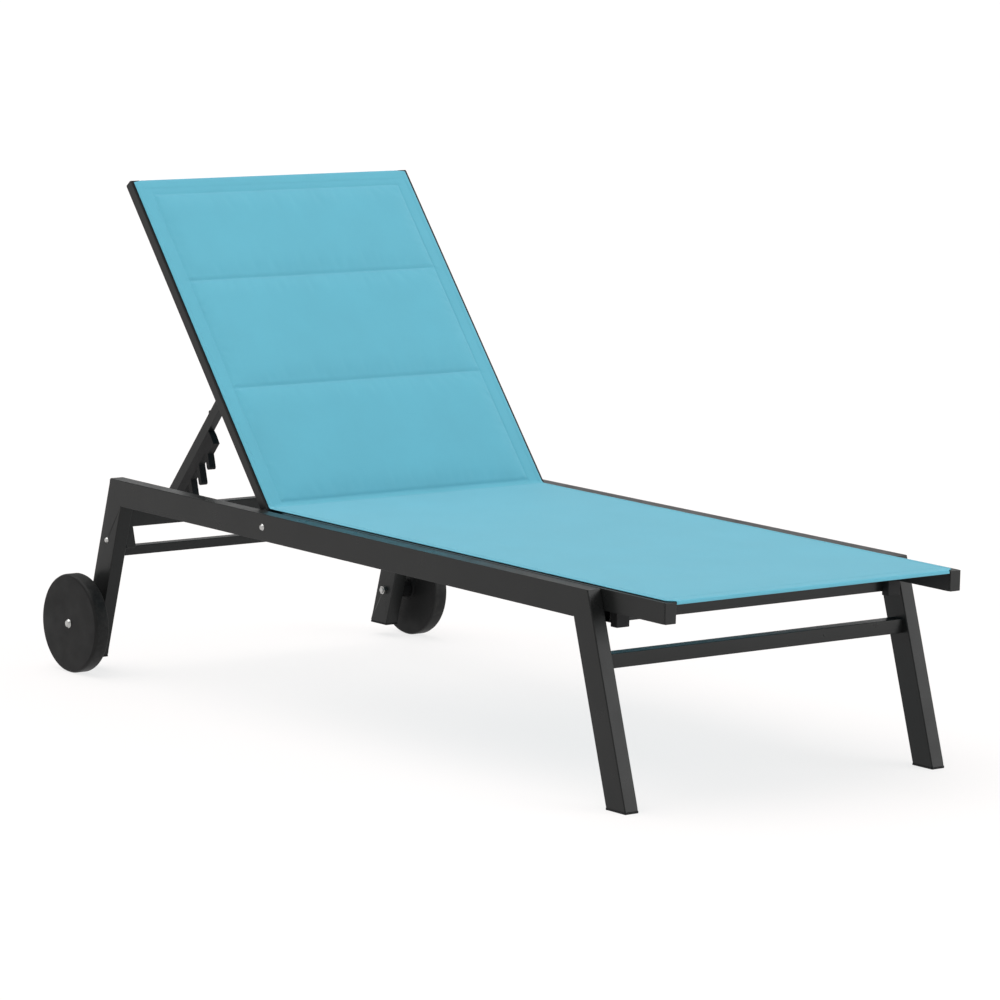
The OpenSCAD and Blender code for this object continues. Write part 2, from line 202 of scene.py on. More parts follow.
# ------------------------------------------------------------------ materials
def powder_coat(name, tone):
    """Fine textured dark powder coat with slight tone drift and small pale scuffs."""
    m = Mat(name)
    p = m.coords()
    base = m.ramp(m.noise(p, 6.0, 3.0, 0.6), [(0.3, shade(tone, 0.9)), (0.7, shade(tone, 1.12))])
    speck = m.range(m.noise(p, 1400.0, 2.0, 0.7), 0.62, 0.75, 0.0, 0.5)
    base = m.mix(speck, base, shade(tone, 1.9))
    scuff = m.math("MULTIPLY", m.range(m.noise(p, 38.0, 6.0, 0.75), 0.66, 0.74, 0.0, 0.35),
                   m.range(m.noise(p, 7.0, 2.0, 0.5), 0.45, 0.65, 0.0, 1.0))
    base = m.mix(scuff, base, shade(tone, 2.2, 0.01))
    m.look(base, m.range(m.noise(p, 22.0, 4.0, 0.6), 0.3, 0.7, 0.27, 0.36), 0.2)
    waves = m.math("MULTIPLY", m.noise(p, 240.0, 2.0, 0.5), 0.6)
    m.bump(m.math("ADD", m.noise(p, 950.0, 3.0, 0.65), waves), 0.3, 0.00012)
    return m.material


def moulded(name, tone, spin_centre=None):
    """Matte moulded plastic with fine grain; with spin_centre, faint turned rings and a dusty tread."""
    m = Mat(name)
    p = m.coords()
    base = m.ramp(m.noise(p, 14.0, 4.0, 0.6), [(0.25, shade(tone, 0.85)), (0.75, shade(tone, 1.2))])
    height = m.noise(p, 1100.0, 2.0, 0.6)
    if spin_centre:
        x, _, z = m.split(p)
        dx = m.math("SUBTRACT", x, spin_centre[0])
        dz = m.math("SUBTRACT", z, spin_centre[1])
        r = m.math("SQRT", m.math("ADD", m.math("MULTIPLY", dx, dx), m.math("MULTIPLY", dz, dz)))
        rings = m.math("SINE", m.math("MULTIPLY", r, 5200.0))
        height = m.math("ADD", height, m.math("MULTIPLY", rings, 0.12))
        dust = m.math("MULTIPLY", m.range(r, *TREAD, 0.0, 1.0),
                      m.range(m.noise(p, 60.0, 5.0, 0.7), 0.42, 0.66, 0.0, 0.22))
        base = m.mix(dust, base, DUST_TONE)
    scuff = m.range(m.noise(p, 70.0, 6.0, 0.75), 0.66, 0.76, 0.0, 0.3)
    base = m.mix(scuff, base, shade(tone, 2.4, 0.01))
    m.look(base, m.range(m.noise(p, 30.0, 3.0, 0.5), 0.3, 0.7, 0.44, 0.58), 0.13)
    m.bump(height, 0.35, 0.0001)
    return m.material


def zinc_steel(name):
    """Zinc plated steel with fine turned marks and slight tarnish."""
    m = Mat(name)
    p = m.coords()
    tarnish = m.noise(p, 180.0, 4.0, 0.6)
    base = m.ramp(tarnish, [(0.3, DULL_ZINC), (0.7, BRIGHT_ZINC)])
    m.link(base, m.shader.inputs["Base Color"])
    m.shader.inputs["Metallic"].default_value = 1.0
    m.link(m.range(tarnish, 0.3, 0.7, 0.22, 0.4), m.shader.inputs["Roughness"])
    m.bump(m.noise(p, 1500.0, 2.0, 0.6), 0.2, 0.00005)
    return m.material


def woven(name, tone):
    """Coated mesh cloth: round yarns over and under with painted shade down between the yarns, slight
    yarn-to-yarn tone, soft mottling.
    """
    m = Mat(name)
    u, v, _ = m.split(m.uv())
    k = 2 * math.pi / YARN_PITCH
    a = m.math("SINE", m.math("MULTIPLY", u, k))
    b = m.math("SINE", m.math("MULTIPLY", v, k))
    over = m.range(m.math("MULTIPLY", a, b), -0.25, 0.25, 0.0, 1.0)
    yarn = m.math("ADD", m.math("MULTIPLY", over, m.math("ABSOLUTE", b)),
                  m.math("MULTIPLY", m.math("SUBTRACT", 1.0, over), m.math("ABSOLUTE", a)))
    streaks = []
    for place in (u, v):
        n = m.node("ShaderNodeTexNoise", noise_dimensions="1D")
        m.link(m.math("MULTIPLY", place, YARNS_SEEN), n.inputs["W"])
        streaks.append(n.outputs[0])
    p = m.coords()
    base = m.ramp(m.noise(p, 9.0, 4.0, 0.6), [(0.3, shade(tone, 0.97)), (0.7, shade(tone, 1.03))])
    # painted shade: the cloth is darkened where the yarn surface dips between the yarns
    base = m.mix(m.range(yarn, 0.0, 0.75, 0.34, 0.0), base, shade(tone, 0.72))
    base = m.mix(m.range(m.math("ADD", *streaks), 0.75, 1.25, 0.0, 0.16), base, shade(tone, 1.1, 0.01))
    m.look(base, m.range(yarn, 0.0, 1.0, 0.78, 0.62), 0.35)
    m.shader.inputs["Sheen Weight"].default_value = 0.12
    m.shader.inputs["Sheen Roughness"].default_value = 0.5
    m.bump(m.math("ADD", yarn, m.math("MULTIPLY", m.noise(p, 700.0, 2.0, 0.6), 0.3)), 0.35, 0.00018)
    return m.material


def thread(name, tone):
    """Sewing thread, a little lighter than the cloth."""
    m = Mat(name)
    p = m.coords()
    base = m.ramp(m.noise(p, 900.0, 2.0, 0.5), [(0.3, shade(tone, 0.95)), (0.7, shade(tone, 1.2))])
    m.link(base, m.shader.inputs["Base Color"])
    m.link(m.range(m.noise(p, 2600.0, 2.0, 0.5), 0.3, 0.7, 0.45, 0.65), m.shader.inputs["Roughness"])
    m.bump(m.noise(p, 3200.0, 1.0, 0.5), 0.4, 0.00006)
    return m.material


FRAME_TONE = (0.0100, 0.0106, 0.0104)
BLACK_TONE, WHEEL_TONE = (0.009, 0.009, 0.0093), (0.0095, 0.0095, 0.0095)
DUST_TONE = (0.05, 0.049, 0.046)
DULL_ZINC, BRIGHT_ZINC = (0.34, 0.34, 0.33), (0.5, 0.5, 0.49)
CLOTH_TONE = (0.085, 0.345, 0.446)
TREAD = (0.0885, 0.0918)            # radius where the dust on the wheels begins and is full
YARN_PITCH = 0.0022
YARNS_SEEN = 450.0                  # tone streaks for a metre of cloth
coat = powder_coat("powder_coat", FRAME_TONE)
black = moulded("black_plastic", BLACK_TONE)
tyre = moulded("wheel_plastic", WHEEL_TONE, floor_xz(*AXLE))
steel = zinc_steel("zinc_steel")
cloth = woven("sling_cloth", CLOTH_TONE)
sewing = thread("thread", CLOTH_TONE)


# ------------------------------------------------------------------ CAD nodes: edges and finishes
WELD = 2e-6                         # joins the doubled points of the CAD shells
ALONG = 0.985                       # cosine: an edge this close to the tube's axis is a long edge
STEEP = 0.6                         # an edge that folds more than this, in radians, isn't part of a curve
BEVEL_ANGLE = math.radians(38)


def edge_tree(axis):
    """Welds the shell and marks the long edges of a tube for rounding, and the rest as sharp."""
    g = Nodes(bpy.data.node_groups.new("long_edges", "GeometryNodeTree"))
    for way in ("INPUT", "OUTPUT"):
        g.tree.interface.new_socket("Geometry", in_out=way, socket_type="NodeSocketGeometry")
    gin, gout = g.node("NodeGroupInput"), g.node("NodeGroupOutput")
    weld = g.node("GeometryNodeMergeByDistance")
    weld.inputs["Distance"].default_value = WELD
    g.link(gin.outputs[0], weld.inputs["Geometry"])
    ends = g.node("GeometryNodeInputMeshEdgeVertices")
    diff = g.node("ShaderNodeVectorMath", operation="SUBTRACT")
    g.link(ends.outputs["Position 1"], diff.inputs[0])
    g.link(ends.outputs["Position 2"], diff.inputs[1])
    unit = g.node("ShaderNodeVectorMath", operation="NORMALIZE")
    g.link(diff.outputs[0], unit.inputs[0])
    along = g.math("GREATER_THAN", g.math("ABSOLUTE", g.dot(unit.outputs[0], axis)), ALONG)
    angle = g.node("GeometryNodeInputMeshEdgeAngle")
    steep = g.math("GREATER_THAN", angle.outputs["Unsigned Angle"], STEEP)
    both = g.math("MULTIPLY", along, steep)
    shape = weld.outputs["Geometry"]
    for name, kind, value in (("bevel_weight_edge", "FLOAT", both),
                              ("sharp_edge", "BOOLEAN", g.math("SUBTRACT", steep, both))):
        store = g.node("GeometryNodeStoreNamedAttribute", data_type=kind, domain="EDGE")
        store.inputs["Name"].default_value = name
        g.link(shape, store.inputs["Geometry"])
        g.link(value, store.inputs["Value"])
        shape = store.outputs["Geometry"]
    g.link(shape, gout.inputs[0])
    return g.tree


def finish_node(name, material, axis, width, segments=3):
    """Gives a CAD node its finish and softened edges: the long ones of a tube, or all if axis is None."""
    o = NODES[name]
    o.data.materials.clear()
    o.data.materials.append(material)
    o.data.polygons.foreach_set("use_smooth", [True] * len(o.data.polygons))
    if axis is not None:
        o.modifiers.new("long_edges", "NODES").node_group = edge_tree(axis)
        bevel = o.modifiers.new("round", "BEVEL")
        bevel.limit_method = "WEIGHT"
    else:
        weld = o.modifiers.new("weld", "WELD")
        weld.merge_threshold = WELD
        bevel = o.modifiers.new("round", "BEVEL")
        bevel.limit_method, bevel.angle_limit = "ANGLE", BEVEL_ANGLE
    bevel.width, bevel.segments = width * MM, segments
    bevel.use_clamp_overlap = True
    bevel.miter_outer = "MITER_ARC"
    o.modifiers.new("flat_faces", "WEIGHTED_NORMAL").keep_sharp = True


def turned(x, z, angle):
    """Unit vector in the XZ plane after turning by angle about +Y."""
    c, s = math.cos(angle), math.sin(angle)
    return (x * c + z * s, 0.0, -x * s + z * c)


RAIL_AXIS = turned(1, 0, TILT)
FRONT_LENGTH, REAR_LENGTH = math.hypot(FRONT_RAKE, 1), math.hypot(REAR_RAKE, 1)
FRONT_AXIS = turned(FRONT_RAKE / FRONT_LENGTH, -1 / FRONT_LENGTH, TILT)
REAR_AXIS = turned(REAR_RAKE / REAR_LENGTH, 1 / REAR_LENGTH, TILT)
BACK_AXIS = turned(1, 0, TILT + BACK)
ARM_AXIS = turned(1, 0, TILT + PROP)
Y_AXIS = (0.0, 1.0, 0.0)
for side in "rl":
    for part, axis, width in (("outer_rail_", RAIL_AXIS, 1.9), ("front_leg_", FRONT_AXIS, 1.9),
                              ("rear_leg_", REAR_AXIS, 1.9), ("seat_rail_", RAIL_AXIS, 1.7),
                              ("back_rail_", BACK_AXIS, 1.4), ("prop_arm_", ARM_AXIS, 1.2)):
        finish_node(part + side, coat, axis, width)
    finish_node("hinge_plate_" + side, coat, None, 0.5, 2)
    finish_node("rack_" + side, black, None, 0.8)
    finish_node("wheel_" + side, tyre, None, 0.5, 2)
for part in ("front_stretcher", "rear_stretcher", "rest_bar", "foot_hem_bar", "seat_front_tube",
             "seat_mid_tube", "seat_rear_tube", "back_top_tube", "back_mid_tube", "back_low_tube"):
    finish_node(part, coat, Y_AXIS, 1.4)
for part, width in (("rear_end_blocks", 0.8), ("seat_front_caps", 1.2), ("prop_brackets", 0.4),
                    ("prop_cross_rod", 0.4)):
    finish_node(part, coat, None, width)
for part, width in (("front_feet", 0.9), ("rear_feet", 0.9), ("seat_rear_caps", 0.7),
                    ("stacking_blocks", 1.2), ("hinge_washers", 0.3), ("wheel_spacers", 0.6),
                    ("back_top_caps", 0.7), ("back_end_caps", 0.7)):
    finish_node(part, black, None, width)
for part in ("rear_leg_screws", "seat_bolts", "hinge_bolts", "axle_bolts", "axle_nuts",
             "hinge_plate_rivets", "prop_pivot_bolts", "rack_screws"):
    finish_node(part, steel, None, 0.45)


# ------------------------------------------------------------------ sling
# all in drawing millimetres
EDGE_Y = 311.0                      # half width over the seat
BACK_Y = 309.3                      # half width over the backrest
LIP_Y = 297.0                       # half width where the cloth turns down at the foot end
HEAD_LIP_Y = 293.0                  # and at the head end
PAD_Y = 280.0                       # sewn side border of the padded panels
HEM_Y = 301.2                       # stitched line of the side hems
CORD_Y = 306.6                      # cord rolled into the side hems
SEAMS = (53.5, 295.0, 527.0, 716.0)  # sewn lines across the backrest, distance from the hinge
SEAT_Z = 350.75                     # underside of the cloth over the seat rails
BACK_N = -12.5                      # underside of the cloth over the backrest rails
BEND_R = 16.0                       # at the hinge
FRONT_X, FRONT_R = 848.45, 1.7      # foot lip and its corner
FRONT_LOW = 346.0                   # where the foot lip ends
TOP_L, TOP_R, TOP_DROP = 747.9, 1.6, 8.5    # head lip from the hinge, its corner and its depth
CORNER_STEPS, BEND_STEPS = 5, 12    # points on each lip's corner and on the bend
SHEET = 2.2                         # thickness away from the pads
LIP_SHEET = 1.7                     # thickness of both end lips
LEAST = 1.1                         # thickness in the deepest stitching
FOAM = 3.0                          # foam height in the middle of a panel, before it swells
CORD = 0.55                         # how far the cord stands up
SWELL_CAP = 3.0                     # most that the simulation may add
SIM_FRAMES = 20
SAG = 2.6                           # hollow of the taut seat between the rails
SEAM_DEEP, HEAD_SEAM_DEEP, SIDE_SEAM_DEEP = 1.35, 0.72, 0.63
SEAM_WIDE, SIDE_SEAM_WIDE = 3.7, 2.8


def arc(cx, cz, r, a0, a1, n):
    """Points on an arc about a centre."""
    return [(cx + r * math.cos(a), cz + r * math.sin(a)) for a in np.linspace(a0, a1, n)]


def sling_path():
    """Underside of the cloth from the foot lip to the head lip, in drawing millimetres."""
    pts = [(FRONT_X, FRONT_LOW)]
    pts += arc(FRONT_X - FRONT_R, SEAT_Z - FRONT_R, FRONT_R, 0, math.pi / 2, CORNER_STEPS)
    # corner between the seat line and the backrest line
    bx, bz = back_xz(0, BACK_N)
    along = (SEAT_Z - bz) / math.sin(BACK)
    corner_x = bx - along * math.cos(BACK)
    cut = BEND_R * math.tan(BACK / 2)
    seat_end = corner_x + cut
    pts.append((seat_end, SEAT_Z))
    pts += arc(seat_end, SEAT_Z + BEND_R, BEND_R, -math.pi / 2, -math.pi / 2 - BACK, BEND_STEPS)[1:]
    pts.append(back_xz(TOP_L - TOP_R, BACK_N))
    cx, cz = back_xz(TOP_L - TOP_R, BACK_N - TOP_R)
    up = math.atan2(math.cos(BACK), math.sin(BACK))
    pts += arc(cx, cz, TOP_R, up, up + math.pi / 2, CORNER_STEPS)[1:]
    pts.append(back_xz(TOP_L, BACK_N - TOP_DROP))
    return np.array(pts)


PATH = sling_path()
PATH_S = np.concatenate([[0], np.cumsum(np.linalg.norm(np.diff(PATH, axis=0), axis=1))])
S_END = PATH_S[-1]
S_FRONT = PATH_S[CORNER_STEPS]      # end of the foot corner
S_BEND0 = PATH_S[CORNER_STEPS + 1]  # start and end of the bend at the hinge
S_BEND1 = PATH_S[CORNER_STEPS + BEND_STEPS]
S_TOP = PATH_S[CORNER_STEPS + BEND_STEPS + 1]   # start of the head corner
L_BEND1 = (TOP_L - TOP_R) - (S_TOP - S_BEND1)   # end of the bend, from the hinge


def s_of(along):
    """Path distance of a point on the backrest at that distance from the hinge."""
    return S_BEND1 + along - L_BEND1


def path_at(s):
    """Drawing x and z of the cloth's underside at path distance s."""
    return np.interp(s, PATH_S, PATH[:, 0]), np.interp(s, PATH_S, PATH[:, 1])


def path_normal(s, h=0.6):
    """Unit normal of the path, up on the seat."""
    x0, z0 = path_at(np.maximum(s - h, 0))
    x1, z1 = path_at(np.minimum(s + h, S_END))
    tx, tz = x1 - x0, z1 - z0
    size = np.hypot(tx, tz)
    tx, tz = tx / size, tz / size
    return tz, -tx


def rows():
    """Path distances of the cross rows, closer at corners and seams."""
    out = list(np.linspace(0, S_FRONT, 9))
    out += list(np.linspace(S_FRONT, S_FRONT + 26, 8)[1:])
    out += list(np.linspace(S_FRONT + 26, S_BEND0 - 12, 92)[1:])
    out += list(np.linspace(S_BEND0 - 12, S_BEND1 + 8, 17)[1:])
    out += list(np.linspace(S_BEND1 + 8, s_of(SEAMS[0]) - 9, 8)[1:])
    for k, seam in enumerate(SEAMS):
        c = s_of(seam)
        out += [c + sign * d for d in (0, 1.3, 2.8, 4.5, 6.5, 9) for sign in (-1, 1)]
        stop = s_of(SEAMS[k + 1]) - 9 if k + 1 < len(SEAMS) else S_TOP - 3
        steps = max(2, round((stop - c - 9) / 6.0))
        out += list(np.linspace(c + 9, stop, steps + 1)[1:-1])
    out += list(np.linspace(S_TOP - 3, S_END, 12))
    return np.array(sorted(set(round(float(v), 4) for v in out)))


def columns():
    """Positions across half the width, 0 to 1, closer at the border and the edge."""
    y = list(np.arange(0, 264, 7.0))
    y += [266, 270, 273, 275.5, 277.4, 278.8, 280, 281.2, 282.6, 284.6, 288]
    y += [293, 298, 301.5, 303.6, 305.2, 306.8, 308.3, 309.6, 310.5, 311]
    y = np.array(y) / EDGE_Y
    return np.concatenate([-y[:0:-1], y])


def smooth(x):
    """A soft step from 0 at 0 to 1 at 1."""
    x = np.clip(x, 0, 1)
    return x * x * (3 - 2 * x)


def half_width(s):
    """Half width of the cloth at a path distance."""
    back = smooth((s - S_BEND0) / (S_BEND1 - S_BEND0))
    w = EDGE_Y + (BACK_Y - EDGE_Y) * back
    w = LIP_Y + (w - LIP_Y) * smooth((s - S_FRONT + 1.5) / 9.0)
    return HEAD_LIP_Y + (w - HEAD_LIP_Y) * smooth(S_TOP + 0.7 - s)


ROWS, COLS = rows(), columns()
SS, VV = np.meshgrid(ROWS, COLS, indexing="ij")
YY = VV * half_width(SS)
HEM = np.abs(VV) * EDGE_Y     # nominal distance from the middle, before the ends narrow


def pad_height():
    """Foam height over the cloth: none outside the sewn panels."""
    lift = np.zeros_like(SS)
    for a, b in zip(SEAMS[:-1], SEAMS[1:]):
        d_row = np.minimum(SS - s_of(a), s_of(b) - SS)
        d_col = PAD_Y - HEM
        d = np.minimum(d_row, d_col)
        # round the panel corners
        near = np.minimum(np.clip(d_row, 0, 30), np.clip(d_col, 0, 30)) / 30
        rise = 1 - np.exp(-(np.clip(d, 0, None) / 9.0) ** 1.35)
        lift = np.maximum(lift, np.where(d > 0, FOAM * rise * (0.85 + 0.15 * near), 0))
    return lift


def wavy(seed, n, low, high):
    """A repeatable irregular wave over the cloth, about -1 to 1, of n waves from low to high long."""
    rng = random.Random(seed)
    total = np.zeros_like(SS)
    for _ in range(n):
        k = 2 * math.pi / rng.uniform(low, high)
        a = rng.uniform(0, 2 * math.pi)
        total += np.sin(k * (SS * math.cos(a) + YY * math.sin(a)) + rng.uniform(0, 6.28))
    return total / math.sqrt(n)


def puckers():
    """Short gathers running away from each sewn line."""
    rng = random.Random(11)
    out = np.zeros_like(SS)
    waves = [(2 * math.pi / rng.uniform(9, 26), rng.uniform(0, 6.28)) for _ in range(9)]
    for seam in SEAMS:
        d = np.abs(SS - s_of(seam))
        along = sum(np.sin(k * YY + ph + seam) for k, ph in waves) / 3.0
        out += 0.16 * along * np.exp(-((d - 5.5) / 6.0) ** 2) * (HEM < PAD_Y + 1) * (d > 1.0)
    d = np.abs(HEM - PAD_Y)
    along = sum(np.sin(k * SS + ph + np.sign(VV)) for k, ph in waves) / 3.0
    on_pad = (SS > s_of(SEAMS[0])) & (SS < s_of(SEAMS[-1]))
    out += 0.2 * along * np.exp(-((d - 5.5) / 6.5) ** 2) * on_pad * (d > 1.0)
    return out


def seam_dip():
    """Depth of the sewn valleys."""
    dip = np.zeros_like(SS)
    inside = HEM < PAD_Y + 2
    for seam in SEAMS:
        deep = HEAD_SEAM_DEEP if seam == SEAMS[-1] else SEAM_DEEP
        dip = np.maximum(dip, deep * np.exp(-((SS - s_of(seam)) / SEAM_WIDE) ** 2) * inside)
    on_pad = (SS > s_of(SEAMS[0]) - 2) & (SS < s_of(SEAMS[-1]) + 2)
    return np.maximum(dip, SIDE_SEAM_DEEP * np.exp(-((HEM - PAD_Y) / SIDE_SEAM_WIDE) ** 2) * on_pad)


def new_object(name, points, faces):
    """A mesh object in the scene."""
    mesh = bpy.data.meshes.new(name)
    mesh.from_pydata(points, [], faces)
    mesh.update()
    o = bpy.data.objects.new(name, mesh)
    bpy.context.scene.collection.objects.link(o)
    return o


def face_out(o):
    """Turns all faces outwards and shades them smooth."""
    mesh = o.data
    bm = bmesh.new()
    bm.from_mesh(mesh)
    bmesh.ops.recalc_face_normals(bm, faces=bm.faces)
    bm.to_mesh(mesh)
    bm.free()
    mesh.polygons.foreach_set("use_smooth", [True] * len(mesh.polygons))


def simulate_panels(lift):
    """Inflates the sewn panels with Cloth: edges and seams are held, the cloth between swells."""
    r0 = np.searchsorted(ROWS, s_of(SEAMS[0]) - 0.01)
    r1 = np.searchsorted(ROWS, s_of(SEAMS[-1]) + 0.01)
    c = np.where(np.abs(COLS) * EDGE_Y <= PAD_Y + 0.01)[0]
    c0, c1 = c[0], c[-1] + 1
    s, y, z = SS[r0:r1, c0:c1], YY[r0:r1, c0:c1], lift[r0:r1, c0:c1]
    n, k = s.shape
    co = np.stack([s, y, z], -1).reshape(-1, 3) * MM
    faces = [(i * k + j, (i + 1) * k + j, (i + 1) * k + j + 1, i * k + j + 1)
             for i in range(n - 1) for j in range(k - 1)]
    o = new_object("panel_sheet", co.tolist(), faces)
    seams = np.zeros((n, k), bool)
    for seam in SEAMS:
        seams |= np.abs(s - s_of(seam)) < 1.5
    seams |= np.abs(np.abs(HEM[r0:r1, c0:c1]) - PAD_Y) < 1.5
    group = o.vertex_groups.new(name="sewn")
    group.add([int(i) for i in np.where(seams.ravel())[0]], 1.0, "REPLACE")
    up = o.data.polygons[0].normal.z
    mod = o.modifiers.new("cloth", "CLOTH")
    st = mod.settings
    st.quality = 6
    st.mass = 0.25
    st.tension_stiffness = st.compression_stiffness = 18
    st.shear_stiffness = 8
    st.bending_stiffness = 0.6
    st.air_damping = 2.5
    st.use_pressure = True
    st.uniform_pressure_force = 4.0 if up > 0 else -4.0
    st.shrink_min = -0.006
    st.vertex_group_mass = "sewn"
    st.pin_stiffness = 1.0
    st.effector_weights.gravity = 0.0
    mod.collision_settings.use_collision = False
    scene = bpy.context.scene
    mod.point_cache.frame_start, mod.point_cache.frame_end = 1, SIM_FRAMES
    for f in range(1, SIM_FRAMES + 1):
        scene.frame_set(f)
    got = np.zeros(len(co) * 3, np.float32)
    ev = o.evaluated_get(bpy.context.evaluated_depsgraph_get())
    ev.data.vertices.foreach_get("co", got)
    rise = (got.reshape(-1, 3) - co)[:, 2].reshape(n, k) / MM
    scene.frame_set(1)
    mesh = o.data
    bpy.data.objects.remove(o)
    bpy.data.meshes.remove(mesh)
    full = np.zeros_like(lift)
    full[r0:r1, c0:c1] = SWELL_CAP * np.tanh(np.clip(rise, 0, None) / SWELL_CAP)
    return full


def thickness():
    """Heights of the cloth's upper and lower faces over its path."""
    lift = pad_height()
    swell = simulate_panels(lift)
    base = SHEET + 0.12 * wavy(3, 20, 60, 220)
    base = base + CORD * np.exp(-((HEM - CORD_Y) / 2.6) ** 2)
    # thin lips at both ends
    lip = np.maximum(1 - smooth((SS - S_FRONT + 0.5) / 5.0), 1 - smooth((S_TOP - SS) / 4.0))
    base = base * (1 - lip) + LIP_SHEET * lip
    # hem stitched down beside the edge
    base = base - 0.35 * np.exp(-((HEM - HEM_Y) / 1.3) ** 2)
    top = np.maximum(base + lift + swell + puckers() - seam_dip(), LEAST)
    # the edges are rounded towards the middle of the cloth
    edge = smooth((EDGE_Y - HEM) / 2.6)
    ends = smooth((SS + 0.2) / 1.6) * smooth((S_END - SS + 0.2) / 1.6)
    full = np.sqrt(np.clip(edge * ends, 0, 1))
    mid = base * 0.5
    return mid + (top - mid) * full, mid - mid * full


def closed_sheet(n, k):
    """Faces of an upper and a lower grid of n rows and k columns, joined all round."""
    off = n * k
    faces = []
    for i in range(n - 1):
        for j in range(k - 1):
            a, b, c, d = i * k + j, (i + 1) * k + j, (i + 1) * k + j + 1, i * k + j + 1
            faces.append((a, d, c, b))
            faces.append((off + a, off + b, off + c, off + d))
    for i in range(n - 1):
        for j, flip in ((0, False), (k - 1, True)):
            a, b = i * k + j, (i + 1) * k + j
            q = (a, b, off + b, off + a)
            faces.append(q[::-1] if flip else q)
    for j in range(k - 1):
        for i, flip in ((0, True), (n - 1, False)):
            a, b = i * k + j, i * k + j + 1
            q = (a, b, off + b, off + a)
            faces.append(q[::-1] if flip else q)
    return faces


def build_sling():
    """The whole cloth as one closed piece, from the foot lip to the head lip."""
    top, low = thickness()
    # taut seat: a slight hollow between the rails
    seat = smooth((SS - S_FRONT - 20) / 260) * smooth((S_BEND0 - SS) / 260)
    hollow = SAG * seat * np.clip(1 - (YY / 296) ** 2, 0, 1)
    px, pz = path_at(SS)
    nx, nz = path_normal(SS)

    def place(h):
        x, z = floor_xz(px + nx * h, pz + nz * h - hollow)
        return np.stack([x, YY * MM, z], -1).reshape(-1, 3)

    co = np.concatenate([place(top), place(low)])
    o = new_object("sling", co.tolist(), closed_sheet(*SS.shape))
    face_out(o)
    mesh = o.data
    uv = mesh.uv_layers.new(name="cloth")
    su = np.tile(SS.ravel(), 2) * MM
    sv = np.tile(YY.ravel(), 2) * MM
    idx = np.zeros(len(mesh.loops), np.int32)
    mesh.loops.foreach_get("vertex_index", idx)
    uv.data.foreach_set("uv", np.stack([su[idx], sv[idx]], -1).astype(np.float32).ravel())
    sub = o.modifiers.new("sub", "SUBSURF")
    sub.levels = sub.render_levels = 1
    sub.uv_smooth = "PRESERVE_CORNERS"
    ev = o.evaluated_get(bpy.context.evaluated_depsgraph_get())
    final = bpy.data.meshes.new_from_object(ev)
    o.modifiers.clear()
    o.data = final
    o.name = final.name = "sling"
    final.materials.clear()
    final.materials.append(cloth)
    return o


sling = build_sling()


# ------------------------------------------------------------------ stitching
PITCH, HEM_PITCH = 4.6, 5.0         # from stitch to stitch on the panels and on the hems
ACROSS, LENGTHWISE = (0, 1), (1, 0)
REACH_X, REACH_Y = 1.5, 1.4         # half a stitch, lengthwise and across
WANDER = 0.12                       # how far a stitch end strays sideways
THREAD_R, THREAD_END_R = 0.00042, 0.00016   # metres, as are the next two
THREAD_UP, THREAD_END_UP = 0.00032, -0.00018
RING = 6
STATIONS = ((-1.0, 0), (-0.55, 0.75), (0.0, 1.0), (0.55, 0.75), (1.0, 0))  # place along, fatness


def row_line(s, y0, y1, step):
    """Stitch places across the cloth at path distance s."""
    n = max(1, int(round((y1 - y0) / step)))
    return [((s, y0 + (i + 0.5) * (y1 - y0) / n), ACROSS) for i in range(n)]


def side_line(y, s0, s1, step):
    """Stitch places along the cloth at a distance y from its middle."""
    n = max(1, int(round((s1 - s0) / step)))
    return [((s0 + (i + 0.5) * (s1 - s0) / n, y), LENGTHWISE) for i in range(n)]


def stitch_places():
    """Every stitch as its place on the cloth and its direction."""
    places = []
    for seam in SEAMS:
        places += row_line(s_of(seam), -PAD_Y, PAD_Y, PITCH)
    for sign in (-1, 1):
        places += side_line(sign * PAD_Y, s_of(SEAMS[0]), s_of(SEAMS[-1]), PITCH)
        places += side_line(sign * HEM_Y, S_FRONT + 14, S_TOP - 8, HEM_PITCH)
    for s in (S_FRONT + 20, S_TOP - 16):
        places += row_line(s, -296, 296, HEM_PITCH)
    return places


def on_cloth(tree, s, y):
    """The point of the finished cloth over a place on its path, with the direction out of the cloth."""
    px, pz = path_at(np.array(s))
    nx, nz = path_normal(np.array(s))
    ox, oz = floor_xz(float(px + nx * 24), float(pz + nz * 24))
    bx, bz = floor_xz(float(px), float(pz))
    down = Vector((bx - ox, 0, bz - oz)).normalized()
    hit = tree.ray_cast(Vector((ox, y * MM, oz)), down, 0.04)[0]
    return (hit, -down) if hit is not None else None


